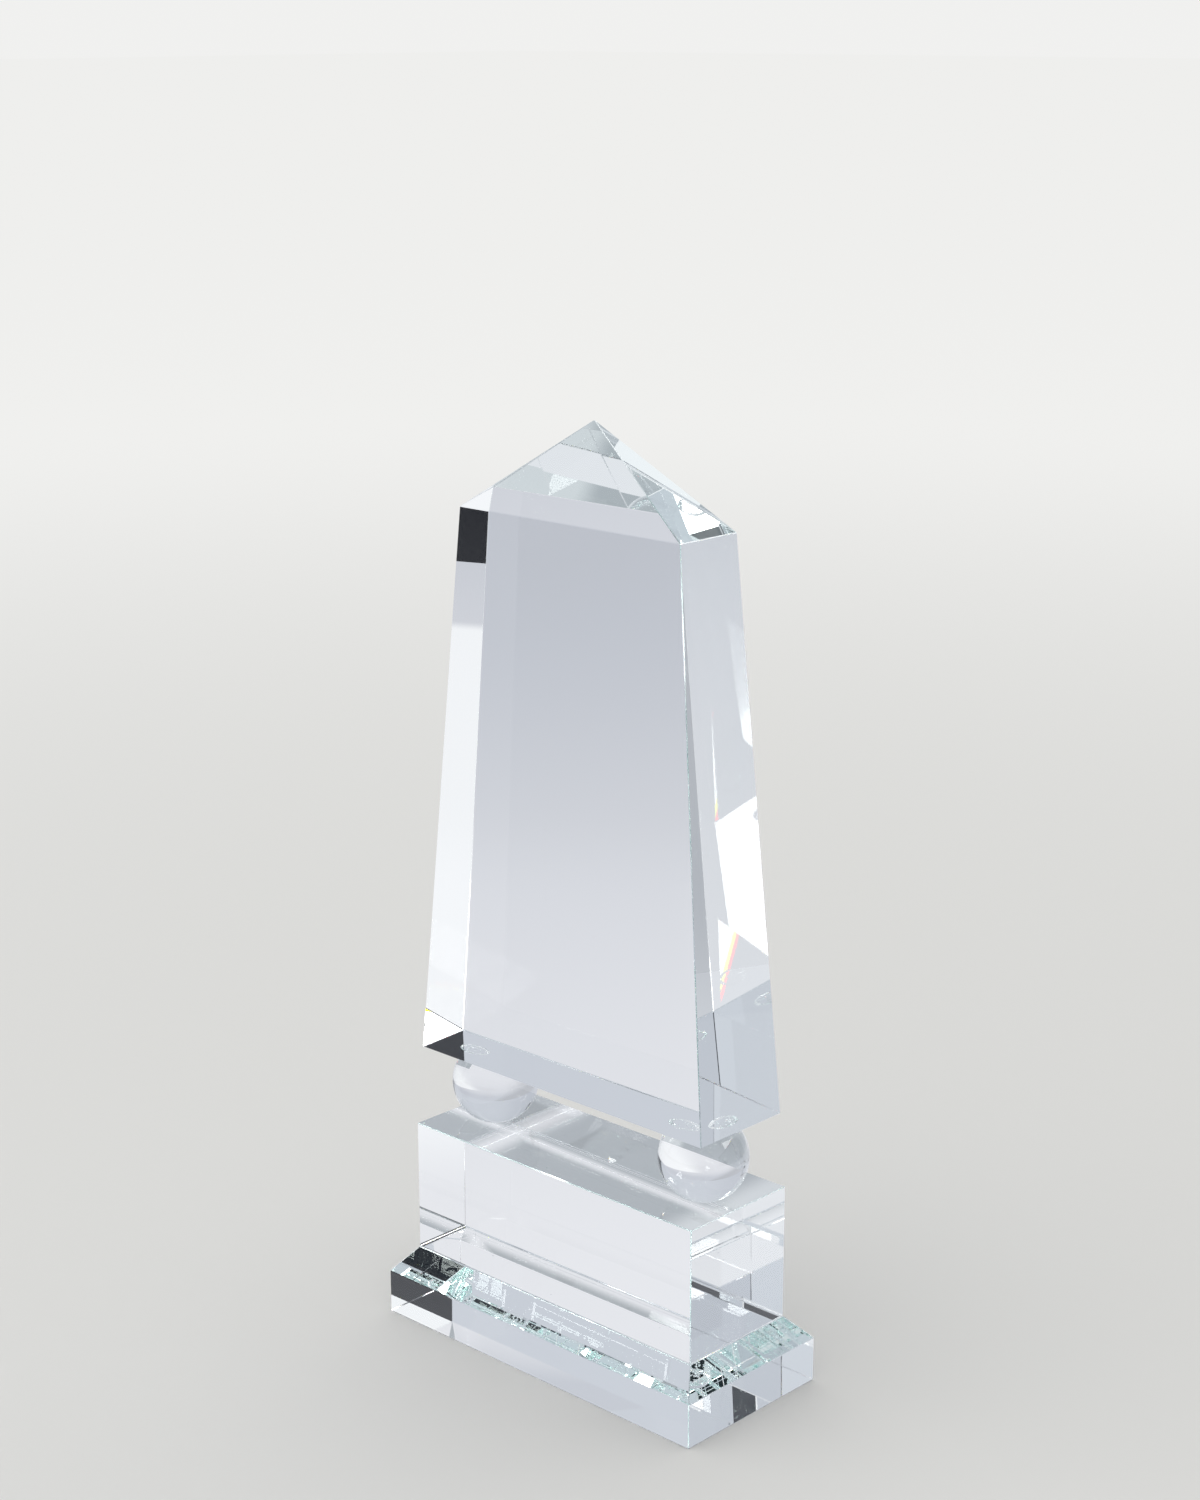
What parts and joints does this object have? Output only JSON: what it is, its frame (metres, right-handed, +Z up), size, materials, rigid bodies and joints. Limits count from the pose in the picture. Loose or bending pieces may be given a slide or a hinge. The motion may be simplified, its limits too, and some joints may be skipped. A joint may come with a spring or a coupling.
{
  "type": "crystal award",
  "caption": "Clear crystal obelisk award on two crystal balls, over a riser block and a chamfered base plate, bonded with clear adhesive.",
  "frame": {"origin": "middle of the footprint, in the plane of the base's underside", "axes": "+Z up, along the obelisk's axis; +X along the award's length, to the right seen from the front; -Y is the front"},
  "size_m": [0.187, 0.084, 0.4252],
  "materials": {
    "obelisk_crystal": "optical crystal, ground flat and polished clear",
    "ball_crystal": "optical crystal ball, polished, with two ground flats",
    "riser_crystal": "optical crystal block, ground flat and polished clear",
    "base_crystal": "optical crystal plate with polished chamfers, faint aqua at its edges",
    "clear_adhesive": "clear light-cured adhesive with a fine bead and small bubbles at its rim"
  },
  "bodies": {
    "root": {"obelisk": "obelisk_crystal", "ball_left": "ball_crystal", "ball_right": "ball_crystal", "riser_block": "riser_crystal", "base_plinth": "base_crystal", "glue_top_left": "clear_adhesive", "glue_top_right": "clear_adhesive", "glue_bottom_left": "clear_adhesive", "glue_bottom_right": "clear_adhesive", "glue_film_riser": "clear_adhesive"}
  },
  "joints": []
}
